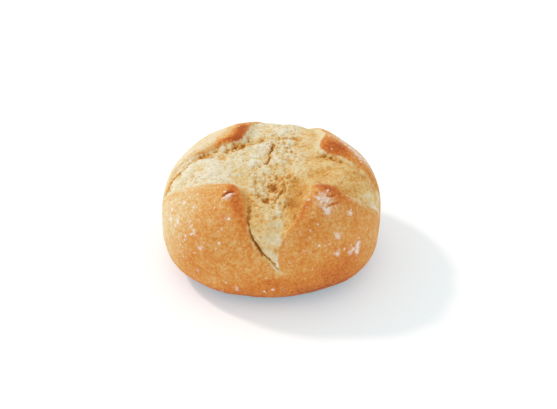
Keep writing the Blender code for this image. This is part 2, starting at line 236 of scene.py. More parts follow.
# How brown the crust is baked, from 0 for cream to 1 for dark brown, in the same form. Patches marked below
# also hold painted light
BAKE_BASE = 0.47
BAKE_AND_PAINTED_LIGHT_PATCHES = {
    "front left tip": (-0.0155, -0.0245, 0.0070, 0.0028, 98, 0.27),
    "front left lobe's right edge": (-0.0128, -0.0370, 0.0110, 0.0030, 105, 0.26),
    "front left lobe's middle": (-0.0390, -0.0280, 0.0140, 0.0080, 10, -0.18),
    "front left lobe's upper edge": (-0.0360, -0.0180, 0.0180, 0.0030, 8, -0.20),
    # Paler on the left side: partly paler crust, partly painted light on the side that faces the lamp
    "left side": (-0.0610, -0.0040, 0.0300, 0.0170, 90, -0.44),
    "front right tip": (0.0250, -0.0220, 0.0080, 0.0038, -15, 0.44),
    "front right tip's left side": (0.0168, -0.0258, 0.0036, 0.0022, 70, -0.34),
    "front right lobe's left edge": (0.0142, -0.0338, 0.0085, 0.0018, 65, 0.26),
    "front right lobe's left side": (0.0180, -0.0430, 0.0120, 0.0035, 80, 0.12),
    "front left lobe's low side": (-0.0480, -0.0520, 0.0090, 0.0080, 0, 0.12),
    "below the slab": (0.0062, -0.0665, 0.0032, 0.0022, 0, -0.30),
    "lower right side": (0.0430, -0.0600, 0.0220, 0.0120, 40, 0.32),
    "right side": (0.0600, -0.0240, 0.0140, 0.0100, 60, -0.06),
    "lower front": (0.0000, -0.0740, 0.0400, 0.0050, 0, 0.22),
    "back right tip": (0.0282, 0.0096, 0.0060, 0.0046, -15, 0.48),
    "back right lobe's edge": (0.0400, 0.0036, 0.0125, 0.0018, -33, 0.14),
    "back right lobe's middle": (0.0400, 0.0220, 0.0160, 0.0100, -40, -0.08),
    "back left tip": (-0.0132, 0.0215, 0.0085, 0.0028, 72, 0.62),
    "back left lobe's edge": (-0.0180, 0.0150, 0.0070, 0.0016, 10, 0.50),
    "back left lobe's near side": (-0.0270, 0.0140, 0.0060, 0.0040, 20, -0.16),
    # The next two: partly paler crust, partly painted light on the back left lobe's side that faces the lamp
    "back left lobe's middle": (-0.0290, 0.0225, 0.0190, 0.0090, 24, -0.42),
    "back left lobe's far edge": (-0.0390, 0.0090, 0.0110, 0.0050, 32, -0.34),
    "back left lobe's lower edge": (-0.0270, 0.0100, 0.0080, 0.0013, 23, 0.20),
}
# How toasted the crumb is, from 0 for cream to 1 for amber, in the same form
TOAST_BASE = 0.25
TOAST_PATCHES = {
    "right arm": (0.0300, -0.0050, 0.0200, 0.0090, -8, 0.44),
    "right arm's upper side": (0.0310, 0.0010, 0.0110, 0.0040, -20, 0.30),
    "right arm's low side": (0.0295, -0.0145, 0.0080, 0.0050, -10, 0.34),
    "halo above the front right lobe": (0.0310, -0.0192, 0.0110, 0.0030, -8, 0.46),
    "right arm's edge": (0.0120, -0.0180, 0.0095, 0.0034, 88, 0.22),
    "back arm's ridge": (0.0125, 0.0150, 0.0120, 0.0020, 90, 0.18),
    "beside the right fold": (0.0062, -0.0350, 0.0040, 0.0022, 80, 0.22),
    "right arm's end": (0.0520, -0.0080, 0.0100, 0.0090, -12, 0.06),
    "back arm's right strip": (0.0185, 0.0220, 0.0180, 0.0042, 90, 0.26),
    "torn pocket": (0.0000, -0.0175, 0.0080, 0.0060, 90, 0.32),
    "pocket's right lip": (0.0075, -0.0170, 0.0080, 0.0040, 82, 0.34),
    "left fold": (-0.0108, -0.0265, 0.0125, 0.0050, 100, 0.52),
    "right fold": (0.0120, -0.0260, 0.0125, 0.0048, 74, 0.40),
    "right fold's wall": (0.0118, -0.0360, 0.0110, 0.0028, 66, 0.42),
    "front left lobe's wall": (-0.0112, -0.0440, 0.0130, 0.0018, 96, 0.12),
    "front left lobe's lower wall": (-0.0038, -0.0588, 0.0090, 0.0012, 128, 0.35),
    "front slab": (-0.0010, -0.0450, 0.0160, 0.0060, -75, 0.22),
    "front slab's left edge": (-0.0068, -0.0450, 0.0120, 0.0028, 98, 0.18),
    "right fold's foot": (0.0085, -0.0340, 0.0044, 0.0030, 68, 0.36),
    "middle": (0.0005, -0.0050, 0.0050, 0.0090, 0, 0.16),
    "under the back right lobe": (0.0275, 0.0045, 0.0075, 0.0028, -12, 0.30),
    "under the left arm's lip": (-0.0318, 0.0054, 0.0052, 0.0024, 28, 0.40),
    "end of the left arm's lip": (-0.0215, 0.0020, 0.0024, 0.0022, 80, 0.35),
    "far end of the left arm": (-0.0475, -0.0048, 0.0045, 0.0018, 35, 0.50),
    "under the back left lobe": (-0.0130, 0.0120, 0.0105, 0.0022, 24, 0.26),
    "wall of the back left lobe": (-0.0150, 0.0138, 0.0060, 0.0024, 28, 0.22),
    "behind the middle": (-0.0045, 0.0180, 0.0045, 0.0024, 0, 0.25),
    "back arm's crack": (0.0100, 0.0178, 0.0060, 0.0018, 0, 0.35),
    "pit beside the pocket": (0.0080, -0.0118, 0.0026, 0.0018, 85, 0.25),
}
# How much further the crust's colour reaches over the lobes' edges, in metres, in the same form
EDGE_SHIFTS = {
    "back right lobe": (0.0380, 0.0035, 0.0130, 0.0060, -33, 0.0018),
    "back right tip": (0.0262, 0.0072, 0.0056, 0.0038, -12, 0.0014),
    "back right lobe's left edge": (0.0228, 0.0190, 0.0075, 0.0030, 90, -0.0020),
    "back left lobe": (-0.0300, 0.0090, 0.0085, 0.0034, 24, 0.0014),
    "back left tip": (-0.0150, 0.0142, 0.0045, 0.0030, 25, 0.0006),
}
# Where the edge between crust and crumb is blurred, from 0 to 1, in the same form
SOFT_EDGES = {
    "front left lobe's upper edge": (-0.0380, -0.0165, 0.0180, 0.0060, 8, 0.80),
    "front left lobe's tip": (-0.0200, -0.0185, 0.0040, 0.0030, 0, 0.40),
    "front right lobe's tip": (0.0220, -0.0195, 0.0060, 0.0040, 0, 0.60),
    "front right lobe's right edge": (0.0400, -0.0225, 0.0160, 0.0060, -5, 0.70),
    "front right lobe's left edge": (0.0140, -0.0350, 0.0140, 0.0040, 65, 0.55),
    "back left lobe's far edge": (-0.0420, 0.0040, 0.0100, 0.0050, 35, 0.6),
}
# Where flour dusts the crust, from 0 to 1, in the same form
FLOUR_PATCHES = {
    "front right tip": (0.0238, -0.0282, 0.0056, 0.0038, -10, 0.88),
    "front right lobe's left edge": (0.0195, -0.0310, 0.0050, 0.0024, 60, 0.40),
    "back right lobe": (0.0385, 0.0132, 0.0200, 0.0048, -37, 1.08),
    "front left lobe": (-0.0400, -0.0310, 0.0190, 0.0150, 0, 0.44),
    "front left lobe's right side": (-0.0190, -0.0330, 0.0060, 0.0090, 0, 0.24),
    "front right lobe": (0.0350, -0.0400, 0.0200, 0.0120, 0, 0.22),
}
# Clumps of flour on the crust: (x, y, radius)
FLOUR_CLUMPS = (
    (0.0245, -0.0330, 0.0013), (0.0350, -0.0302, 0.0010), (0.0318, -0.0420, 0.0012),
    (0.0470, -0.0400, 0.0018), (0.0490, -0.0430, 0.0012), (0.0440, -0.0455, 0.0013),
    (0.0355, -0.0490, 0.0013), (0.0402, -0.0230, 0.0006), (0.0170, -0.0530, 0.0007),
    (0.0285, -0.0556, 0.0006), (0.0240, -0.0490, 0.0006), (-0.0480, -0.0266, 0.0009),
    (-0.0380, -0.0238, 0.0008), (-0.0428, -0.0300, 0.0007), (-0.0350, -0.0390, 0.0008),
    (-0.0352, -0.0462, 0.0010), (-0.0180, -0.0378, 0.0007), (-0.0450, -0.0550, 0.0009),
    (-0.0240, -0.0740, 0.0016), (0.0020, -0.0765, 0.0010), (-0.0045, -0.0776, 0.0009),
    (0.0088, -0.0760, 0.0007), (0.0120, -0.0780, 0.0006), (0.0150, -0.0700, 0.0005),
)
# Browning of the crust towards the base, partly real browning and partly painted shade near the floor: (the
# height at which it ends, its strength)
BASE_BROWNING_AND_SHADE = (0.0150, 0.56)
# How far the crust's colour reaches over the edge of the cross
EDGE_SHIFT = 0.0009
# How deep below its surroundings a point of the crumb counts as one hollow, and how much more a crack
# counts, in the painted shade of the crumb's hollows
HOLLOW_DEPTH = 0.0011
CRACK_SHADE_WEIGHT = 1.8
# The least and the most hollow, and the least and the most torn, that a point can be
HOLLOW_LIMITS = (-1.0, 2.0)
TORN_LIMITS = (0.0, 1.6)
# How much darker a tear in the crust is painted than the crust round it, as painted shade in its slit, and
# how strong the painted highlight on its lip is, in the flour's colour
TEAR_PAINTED_SHADE = 0.7
LIP_PAINTED_HIGHLIGHT = 1.2
# How far the dust of a clump of flour reaches, in its radii
CLUMP_SPREAD = 1.6
MILLIMETRES = 1000.0

# Seeds of the noises, and the step between the layers of a noise that uses several seeds in each
CRAG_SEED = 1
WANDER_SEED = 7
UNEVENNESS_SEED = 11
GRAIN_SEED = 21
FINE_CRAG_SEED = 31
PORE_SEED = 50
CRACK_DEPTH_SEED = 61
RIDGE_HEIGHT_SEED = 62
FURROW_SEED = 80
SEED_STEP = 10
# Large odd numbers that mix a place on the lattice and a seed into one number of 32 bits
PLACE_MIXERS = (374761393, 668265263, 1103515245)
SEED_MIXER = 974634777
SCRAMBLER = 1274126177
ALL_BITS = 0xFFFFFFFF
LOW_BITS = 0xFFFF

# The skin's grid: cells across the crown, arcs at which the crown and the band of fine cells end, rows
CROWN_CELLS = 228
CROWN_ARC = 0.0500
FINE_BAND_ARC = 0.0715
FINE_BAND_ROWS = 34
COARSE_BAND_ROWS = 22
# Rings of the flat base: (share of its radius, how many times its number of points is halved)
BASE_RINGS = ((0.985, 0), (0.95, 0), (0.90, 1), (0.84, 1), (0.78, 1), (0.70, 2), (0.60, 2), (0.50, 2),
              (0.40, 3), (0.25, 3))
PROFILE_STEPS = 721
PATH_STEPS = 4
# The height above the floor over which the skin's relief sets in
BASE_FADE = 0.0040

# Colours of the crust from its palest to its most baked, and of the crumb from its highest and palest to
# its deepest and most toasted, whose deep end also serves as painted shade: (place, colour)
CRUST_COLOURS = (
    (0.00, (0.82, 0.70, 0.47)), (0.25, (0.78, 0.51, 0.21)), (0.50, (0.74, 0.32, 0.064)),
    (0.75, (0.66, 0.19, 0.030)), (1.00, (0.46, 0.10, 0.016)),
)
CRUMB_COLOURS = (
    (0.00, (0.86, 0.79, 0.62)), (0.30, (0.80, 0.67, 0.41)), (0.55, (0.79, 0.54, 0.22)),
    (0.80, (0.70, 0.35, 0.075)), (1.00, (0.50, 0.19, 0.030)),
)
# The colour of flour, which also draws the painted highlight on the crust tear's lip
FLOUR_AND_HIGHLIGHT_COLOUR = (0.90, 0.86, 0.81)
# Speckles: (strength, size, detail, roughness). The strength at the edge, and its blur, are in millimetres
CRUST_SPECKLES = (1.25, 0.0012, 3.0, 0.75)
CRUST_BLOTCHES = (0.35, 0.0050, 2.0, 0.5)
CRUMB_SPECKLES = (0.40, 0.0015, 3.0, 0.6)
CRUMB_BLOTCHES = (0.34, 0.0038, 2.0, 0.5)
EDGE_SPECKLES = (1.6, 0.0014, 3.0, 0.6)
EDGE_BLUR = 0.5
# The finest foam of the crumb: its noise (size, detail, roughness), and the part of it in which it rises
FOAM_NOISE = (0.0009, 2.0, 0.6)
FOAM_RISE = (0.32, 0.68)
# Cups of the crumb: (spacing, share of the depth), their wobble (size, reach), the part in which they
# rise from their middles to their edges, and how deep in them the torn crumb is on the whole
CUPS = ((0.0022, 0.65), (0.0011, 0.35))
CUP_WOBBLE = (0.0016, 0.0012)
CUP_RISE = (0.1, 0.6)
MEAN_PITTED = 0.37
# How strongly the crumb is painted darker and more amber in its hollows, its foam's low places and its cups:
# painted shade
HOLLOW_PAINTED_SHADE = 0.38
FOAM_PAINTED_SHADE = 0.24
PITTED_PAINTED_SHADE = 0.62
# Flour: its speckles and how far they are drawn out, its flecks and the groups that these stand in
DUST_SPECKLES = (3.0, 0.0013, 4.0, 0.75)
DUST_STRETCH = 0.3
DUST_RISE = (0.45, 1.35)
DUST_COVER = 0.8
FLECK_WOBBLE = (0.0014, 0.0014)
FLECK_SPACING = 0.0030
FLECK_RISE = (0.05, 0.40)
FLECK_GROUP_SIZE = 0.0060
FLECK_GROUP_RISE = (0.40, 0.60)
FLECK_DUST = 0.95
# The material's fine bumps: the crust's grain (size, detail, roughness), and the strength of each kind
GRAIN_NOISE = (0.0009, 3.0, 0.7)
GRAIN_BUMP = 1.3
FOAM_BUMP = 0.5
PITTED_BUMP = 1.1
BUMP = {"Strength": 0.7, "Distance": 0.0004}
BREAD_FINISH = {
    "Roughness": 0.62,
    "Specular IOR Level": 0.16,
    "Subsurface Weight": 0.25,
    "Subsurface Radius": (1.0, 0.5, 0.2),
    "Subsurface Scale": 0.0015,
}

# The camera and the light, as the photograph shows them
CAMERA_ELEVATION = 36.0
CAMERA_DISTANCE = 0.585
CAMERA_LENS = 83.6
CAMERA_NEAREST = 0.01
CAMERA_AIM = (0.0033, 0.0, 0.0246)
KEY_TRAVEL = (0.89, -0.46)
KEY_ELEVATION = 46.0
KEY_DISTANCE = 1.2
KEY_SIZE = 0.14
KEY_POWER = 4.4
SKY_STRENGTH = 0.80
# The floor, whose faint cool glow keeps the roll's orange light out of the roll's shadow
FLOOR_HALF = 3.0
FLOOR_FINISH = {
    "Base Color": (0.98, 0.81, 0.74, 1.0),
    "Roughness": 0.9,
    "Specular IOR Level": 0.0,
    "Emission Color": (0.09, 0.28, 0.345, 1.0),
    "Emission Strength": 1.0,
}


def smooth_step(low, high, value):
    """0 below low and 1 above high, and 3t^2 - 2t^3 at the share t of the way between them."""
    share = np.clip((value - low) / (high - low), 0.0, 1.0)
    return share * share * (3.0 - 2.0 * share)


def lattice_value(cell, seed):
    """A fixed pseudo-random number from -1 to 1 for each whole-number point of space.

    The point's three numbers and the seed, each times its own mixer, are added up, and the sum's bits are
    folded over, scrambled and folded over once more.
    """
    mixed = (cell @ np.array(PLACE_MIXERS) + seed * SEED_MIXER) & ALL_BITS
    mixed = ((mixed ^ (mixed >> 13)) * SCRAMBLER) & ALL_BITS
    return ((mixed ^ (mixed >> 16)) & LOW_BITS) / (LOW_BITS / 2) - 1.0


def on_lattice(points, size):
    """Whole-number cell and place within it, on a lattice turned so that its rows don't show."""
    scaled = points @ np.array(mathutils.Euler(LATTICE_TURN).to_matrix()) / size
    whole = np.floor(scaled).astype(np.int64)
    return whole, scaled - whole


def value_noise(points, size, seed):
    """Smooth noise from -1 to 1: lattice values a distance size apart, blended along each axis.

    At the share t of the way between two values, the second one counts 6t^5 - 15t^4 + 10t^3.
    """
    whole, part = on_lattice(points, size)
    part = part * part * part * (part * (part * 6.0 - 15.0) + 10.0)
    total = np.zeros(len(points))
    for corner in range(8):
        step = np.array([corner & 1, corner >> 1 & 1, corner >> 2 & 1])
        weight = np.where(step, part, 1.0 - part).prod(axis=1)
        total += weight * lattice_value(whole + step, seed)
    return total


def layered_noise(points, layers, seed):
    """Several sizes of noise added up."""
    return sum(rise * value_noise(points, size, seed + turn) for turn, (size, rise) in enumerate(layers))


def pores(points, spacing, fill, seed):
    """Round pits from 0 to 1 deep: one in each lattice cell, at a random place and of a random size.

    The size is a share of the largest pit's. A pit is that size times 1 - (distance / radius)^2 deep, and
    the deepest of the pits that reach a point counts.
    """
    whole, part = on_lattice(points, spacing)
    deepest = np.zeros(len(points))
    for neighbour in range(27):
        step = np.array([neighbour % 3, neighbour // 3 % 3, neighbour // 9]) - 1
        cell = whole + step
        stray = np.stack([lattice_value(cell, seed + axis) for axis in range(3)], axis=1)
        offset = 0.5 + PORE_STRAY * stray + step - part
        size = 1.0 - PORE_VARIETY + PORE_VARIETY * lattice_value(cell, seed + 3)
        squared = (offset * offset).sum(axis=1) / (fill * size) ** 2
        deepest = np.maximum(deepest, (1.0 - squared) * size)
    return deepest


def furrows(points, size, share, seed):
    """Winding furrows where the noise passes through zero: 1 - |noise| / share deep, but never below 0."""
    return np.clip(1.0 - np.abs(value_noise(points, size, seed)) / share, 0.0, 1.0)


def plan_radius(azimuth):
    """The roll's outline from above: an ellipse, times 1 plus a few gentle cosine waves."""
    oval = 1.0 / np.hypot(np.cos(azimuth) / (WIDTH / 2), np.sin(azimuth) / (DEPTH / 2))
    waves = sum(
        share * np.cos(count * azimuth - math.radians(turn)) for count, share, turn in OUTLINE_WAVES
    )
    return oval * (1.0 + waves)


def bun_surface(polar, azimuth):
    """Points and outward normals of the smooth bun, seen from the middle of its waist.

    Above and below the waist the section is |across / radius|^n + |up / height|^n = 1.
    """
    radius = plan_radius(azimuth)
    across, up = np.sin(polar), np.cos(polar)
    above = up >= 0.0
    rise = np.where(above, CROWN_HEIGHT - WAIST_HEIGHT, BELLY_DEPTH)
    power = np.where(above, CROWN_POWER, BELLY_POWER)
    reach = ((across / radius) ** power + (np.abs(up) / rise) ** power) ** (-1.0 / power)
    out, lift = reach * across, reach * up
    points = np.stack([out * np.cos(azimuth), out * np.sin(azimuth), WAIST_HEIGHT + lift], axis=1)
    slope_out = (out / radius) ** (power - 1.0) / radius
    slope_up = np.sign(lift) * (np.abs(lift) / rise) ** (power - 1.0) / rise
    length = np.hypot(slope_out, slope_up)
    normals = np.stack(
        [slope_out * np.cos(azimuth) / length, slope_out * np.sin(azimuth) / length, slope_up / length],
        axis=1,
    )
    return points, normals


def crown_arc():
    """Polar angles down the bun's profile, and the arc from the crown's middle to each."""
    steps = np.linspace(0.0, math.pi, PROFILE_STEPS)
    profile, _ = bun_surface(steps, np.zeros(PROFILE_STEPS))
    arc = np.concatenate([[0.0], np.cumsum(np.linalg.norm(np.diff(profile, axis=0), axis=1))])
    return steps, arc


def rim_polar(azimuth):
    """The polar angle at which the bun meets the floor.

    There its section is (1 - (waist height / belly depth)^n)^(1/n) of the plan radius wide.
    """
    share = (1.0 - (WAIST_HEIGHT / BELLY_DEPTH) ** BELLY_POWER) ** (1.0 / BELLY_POWER)
    return math.pi - np.arctan2(plan_radius(azimuth) * share, WAIST_HEIGHT)


def smooth_path(corners):
    """Points along a Catmull-Rom curve through the corners."""
    corners = np.array(corners)
    ends = np.concatenate([2 * corners[:1] - corners[1:2], corners, 2 * corners[-1:] - corners[-2:-1]])
    steps = np.linspace(0.0, 1.0, PATH_STEPS, endpoint=False)[:, None]
    runs = []
    for a, b, c, d in zip(ends, ends[1:], ends[2:], ends[3:]):
        cubic = (3 * b - 3 * c + d - a) * steps ** 3 + (2 * a - 5 * b + 4 * c - d) * steps ** 2
        runs.append(0.5 * (cubic + (c - a) * steps + 2 * b))
    return np.concatenate(runs + [corners[-1:]])


def near_path(spot, path):
    """Each point's distance from a path, and the share of the path before the nearest place on it."""
    nearest = np.full(len(spot), np.inf)
    share = np.zeros(len(spot))
    for step, (start, end) in enumerate(zip(path, path[1:])):
        run = end - start
        part = np.clip((spot - start) @ run / (run @ run), 0.0, 1.0)
        distance = np.linalg.norm(spot - start - part[:, None] * run, axis=1)
        closer = distance < nearest
        nearest = np.where(closer, distance, nearest)
        share = np.where(closer, (step + part) / (len(path) - 1), share)
    return nearest, share


def inside(spot, path):
    """Whether each point lies inside a closed path: a ray along +X crosses it an odd number of times."""
    crossings = np.zeros(len(spot), int)
    for start, end in zip(path, path[1:]):
        spans = (start[1] > spot[:, 1]) != (end[1] > spot[:, 1])
        rise = end[1] - start[1]
        along = start[0] + (spot[:, 1] - start[1]) * (end[0] - start[0]) / (rise if rise else 1.0)
        crossings += spans & (spot[:, 0] < along)
    return crossings % 2 == 1


def crust_inset(spot):
    """How far each point lies outside the open cross, on the crust. It is negative on the crumb."""
    corners = [corner for part in CROSS_OUTLINE.values() for corner in part]
    path = smooth_path(corners + corners[:1])
    distance, _ = near_path(spot, path)
    return np.where(inside(spot, path), -distance, distance)


def patch(spot, form):
    """A rounded patch over an ellipse: its height times e^-(along^2 + across^2), in the ellipse's radii."""
    x, y, long_radius, short_radius, turn, height = form
    cosine, sine = math.cos(math.radians(turn)), math.sin(math.radians(turn))
    offset = spot - np.array([x, y])
    along = offset @ np.array([cosine, sine]) / long_radius
    across = offset @ np.array([-sine, cosine]) / short_radius
    return height * np.exp(-(along * along + across * across))


def round_patch(spot, x, y, radius, height):
    """A rounded patch over a circle."""
    return patch(spot, (x, y, radius, radius, 0, height))


def patches(spot, forms):
    """Several rounded patches added up."""
    return sum(patch(spot, form) for form in forms.values())


def crack_relief(spot, crack):
    """A crack: a V-shaped furrow along a smooth path, which narrows and closes towards both ends.

    At the share s of its way it is open by 2 (s (1 - s))^(1/2), and it is as deep as depth times opening.
    """
    half_width, depth, corners = crack
    nearest, share = near_path(spot, smooth_path(corners))
    opening = np.sqrt(np.clip(4 * share * (1 - share), 0.0, 1.0))
    across = nearest / (half_width * (CRACK_END_WIDTH + (1.0 - CRACK_END_WIDTH) * opening))
    return -depth * opening * np.clip(1.0 - across, 0.0, 1.0)


def deepest_crack(spot, cracks):
    """The relief of several cracks, of which the deepest counts at each point."""
    return np.min([crack_relief(spot, crack) for crack in cracks], axis=0)


def crack_wander(points):
    """How far the cracks are led astray at each point, in both directions of the unrolled crown."""
    wander = np.zeros((len(points), 2))
    for turn, (stray, distance) in enumerate(CRACK_WANDER):
        seed = WANDER_SEED + SEED_STEP * turn
        wander += stray * np.stack([value_noise(points, distance, seed + axis) for axis in range(2)], axis=1)
    return wander


def uneven(points, evenness, seed):
    """A factor of 1 at most: the evenness plus the rest times noise."""
    return evenness + (1.0 - evenness) * value_noise(points, CRACK_PATCH, seed)


def crust_relief(spot, points, inset):
    """Height of the crust over the bun: a rim inside the lobes' edges, a swell at each tip, and small tears.

    The rim is a bell across the edge, e^-(distance from its ridge / spread)^2, and fades down the sides.
    """
    from_ridge = (inset - RIM_INSET) / RIM_SPREAD
    fade = 1.0 - smooth_step(*RIM_FADES, np.linalg.norm(spot, axis=1))
    height = RIM_HEIGHT * fade * np.exp(-from_ridge * from_ridge)
    height += sum(round_patch(spot, x, y, TIP_SPREAD, rise) for x, y, rise in LOBE_TIPS.values())
    height += deepest_crack(spot, CRUST_TEARS.values()) + patch(spot, TEAR_LIP)
    height += layered_noise(points, CRUST_UNEVENNESS, UNEVENNESS_SEED)
    return height + layered_noise(points, CRUST_GRAIN, GRAIN_SEED)


def crumb_pores(points):
    """Depth of the crumb's pores and of the furrows that join them up."""
    depth = sum(
        deepest * pores(points, spacing, fill, PORE_SEED + SEED_STEP * turn)
        for turn, (spacing, fill, deepest) in enumerate(PORES)
    )
    return depth + sum(
        deepest * furrows(points, size, share, FURROW_SEED + turn)
        for turn, (size, share, deepest) in enumerate(FURROWS)
    )


def crumb_relief(spot, points, torn):
    """The torn crumb's form over the bun, the roughness upon it, and how hollow each point is.

    The roughness is crags and ridges less pits and cracks. A point is as hollow as these and the small
    hollows put it below its surroundings, as a share of HOLLOW_DEPTH.
    """
    small_hollows = patches(spot, SMALL_HOLLOWS)
    form = -CRUMB_DROP + patches(spot, CRUMB_FORMS) + small_hollows
    crags = layered_noise(points, CRAGS, CRAG_SEED)
    crags += torn * layered_noise(points, FINE_CRAGS, FINE_CRAG_SEED)
    pits = torn * crumb_pores(points) + sum(round_patch(spot, *pit) for pit in CRUMB_PITS)
    wander = crack_wander(points)
    cracks = deepest_crack(spot + wander, [*CRACKS.values(), *NOTCHES])
    cracks *= uneven(points, CRACK_EVENNESS, CRACK_DEPTH_SEED)
    ridges = -deepest_crack(spot + RIDGE_STRAY * wander, RIDGES.values())
    ridges *= uneven(points, RIDGE_EVENNESS, RIDGE_HEIGHT_SEED)
    rough = crags - pits + cracks + ridges
    # How low each point lies, cracks counting extra: the material paints the crumb darker and more amber
    # there, as painted shade
    low = pits - CRACK_SHADE_WEIGHT * cracks - crags - small_hollows - ridges
    return form, rough, np.clip(low / HOLLOW_DEPTH, *HOLLOW_LIMITS)


def flour_share(spot):
    """How much flour lies at each point."""
    flour = patches(spot, FLOUR_PATCHES)
    return flour + sum(round_patch(spot, x, y, CLUMP_SPREAD * radius, 1.0) for x, y, radius in FLOUR_CLUMPS)


def skin_tones(spot, above_floor, inset, hollow, torn):
    """What the material reads at each point: how far on the crust it is, in millimetres, and its tones."""
    # How far into a crust tear each point lies: painted shade in the bake tone there, and no flour
    tear = -deepest_crack(spot, CRUST_TEARS.values()) / TEAR_DEPTH
    # Darker towards the floor: partly browning, partly painted shade
    darkening_height, browning_and_shade = BASE_BROWNING_AND_SHADE
    low = 1.0 - smooth_step(0.0, darkening_height, above_floor)
    edge = inset + EDGE_SHIFT + patches(spot, EDGE_SHIFTS)
    return {
        "inset": edge * MILLIMETRES * (1.0 - patches(spot, SOFT_EDGES)),
        "hollow": hollow,
        "torn": torn,
        # Baked colour, with painted light from some patches and painted shade towards the floor and in the
        # crust's tears
        "bake": BAKE_BASE + patches(spot, BAKE_AND_PAINTED_LIGHT_PATCHES) + browning_and_shade * low + TEAR_PAINTED_SHADE * tear,
        "toast": TOAST_BASE + patches(spot, TOAST_PATCHES),
        # Flour, plus the painted highlight on the tear's lip
        "flour": flour_share(spot) + LIP_PAINTED_HIGHLIGHT * patch(spot, TEAR_LIP) / TEAR_LIP[-1] - tear,
    }


def skin(polar, azimuth):
    """The roll's skin: its points, and the tones that its material reads at each of them.

    A point of the bun moves along its normal by the crust's height outside the cross and by the crumb's
    form and roughness within it. The two are blended over the wall between them, and end at the base.
    """
    points, normals = bun_surface(polar, azimuth)
    distance = np.interp(polar, *crown_arc())
    spot = np.stack([distance * np.cos(azimuth), distance * np.sin(azimuth)], axis=1)
    inset = crust_inset(spot)
    torn = np.clip(TORN_BASE + patches(spot, TORN_PATCHES), *TORN_LIMITS)
    form, rough, hollow = crumb_relief(spot, points, torn)
    crust_share = smooth_step(-WALL_WIDTH, 0.0, inset)
    height = crust_share * crust_relief(spot, points, inset) + (1.0 - crust_share) * form
    height += (1.0 - smooth_step(-ROUGH_WALL_WIDTH, 0.0, inset)) * rough
    height *= smooth_step(0.0, BASE_FADE, points[:, 2])
    return points + normals * height[:, None], skin_tones(spot, points[:, 2], inset, hollow, torn)


def crown_grid():
    """Arc and azimuth of a square grid laid over the crown: the squares round its middle become circles.

    The point (a, b) goes to the ring max(|a|, |b|). In the left and right quarters its azimuth is
    45 degrees times b / a, and in the other two it is 90 degrees less 45 times a / b.
    """
    across = np.linspace(-1.0, 1.0, CROWN_CELLS + 1)
    a, b = (axis.ravel() for axis in np.meshgrid(across, across, indexing="ij"))
    ring = np.maximum(np.abs(a), np.abs(b))
    wide = np.abs(a) >= np.abs(b)
    safe_a, safe_b = np.where(a == 0.0, 1.0, a), np.where(b == 0.0, 1.0, b)
    sideways = math.pi / 4 * b / safe_a + np.where(a < 0.0, math.pi, 0.0)
    upright = math.pi / 2 - math.pi / 4 * a / safe_b + np.where(b < 0.0, math.pi, 0.0)
    return ring * CROWN_ARC, np.where(wide, sideways, upright)


def crown_faces():
    """The grid's squares, and its edge as a loop of points that runs anticlockwise from -45 degrees."""
    count = CROWN_CELLS + 1
    index = np.arange(count * count).reshape(count, count)
    squares = np.stack([index[:-1, :-1], index[1:, :-1], index[1:, 1:], index[:-1, 1:]], axis=-1)
    edge = np.concatenate([index[-1, :-1], index[:0:-1, -1], index[0, :0:-1], index[:-1, 0]])
    return squares.reshape(-1, 4), edge


def even_faces(upper, lower):
    """Squares between two rings with the same number of points."""
    return np.stack([upper, lower, np.roll(lower, -1), np.roll(upper, -1)], axis=1)


def halving_faces(upper, lower):
    """Triangles between a ring and the next one, which has half as many points."""
    first, middle, last = upper[::2], upper[1::2], np.roll(upper, -2)[::2]
    following = np.roll(lower, -1)
    return np.concatenate([
        np.stack([first, lower, middle], axis=1),
        np.stack([middle, lower, following], axis=1),
        np.stack([middle, following, last], axis=1),
    ])


def ring_azimuths(count):
    """Azimuths of a ring's points, anticlockwise from -45 degrees."""
    return -math.pi / 4 + 2 * math.pi * np.arange(count) / count


def side_rings(steps, arc):
    """Polar angles and azimuths of the rings down the side: a band of fine cells and one of coarse cells."""
    rings = []
    azimuth = ring_azimuths(4 * CROWN_CELLS)
    for row in range(1, FINE_BAND_ROWS + 1):
        reach = CROWN_ARC + (FINE_BAND_ARC - CROWN_ARC) * row / FINE_BAND_ROWS
        rings.append((np.full(len(azimuth), np.interp(reach, arc, steps)), azimuth))
    azimuth = ring_azimuths(2 * CROWN_CELLS)
    rim_arc = np.interp(rim_polar(azimuth), steps, arc)
    for row in range(1, COARSE_BAND_ROWS + 1):
        reach = FINE_BAND_ARC + (rim_arc - FINE_BAND_ARC) * row / COARSE_BAND_ROWS
        rings.append((np.interp(reach, arc, steps), azimuth))
    return rings


def base_rings():
    """Polar angles and azimuths of the rings over the flat base, from its rim inwards."""
    rings = []
    for share, halvings in BASE_RINGS:
        azimuth = ring_azimuths(2 * CROWN_CELLS >> halvings)
        rings.append((math.pi - np.arctan(share * np.tan(math.pi - rim_polar(azimuth))), azimuth))
    return rings


def build_skin():
    """Polar angles, azimuths and faces of the whole skin, and how many of its points are above the base.

    The crown grid comes first, then the rings from the top down, each joined to the one above it, and
    last the middle of the base.
    """
    steps, arc = crown_arc()
    distance, azimuth = crown_grid()
    squares, ring = crown_faces()
    polars, azimuths, faces = [np.interp(distance, arc, steps)], [azimuth], squares.tolist()
    sides = side_rings(steps, arc)
    count = len(azimuth)
    above_base = count + sum(len(around) for _, around in sides)
    for polar, around in sides + base_rings():
        lower = np.arange(count, count + len(around))
        join = even_faces if len(lower) == len(ring) else halving_faces
        faces += join(ring, lower).tolist()
        polars.append(polar)
        azimuths.append(around)
        ring = lower
        count += len(around)
    faces += np.stack([ring, np.full(len(ring), count), np.roll(ring, -1)], axis=1).tolist()
    polars, azimuths = np.concatenate(polars + [[math.pi]]), np.concatenate(azimuths + [[0.0]])
    return polars, azimuths, faces, above_base


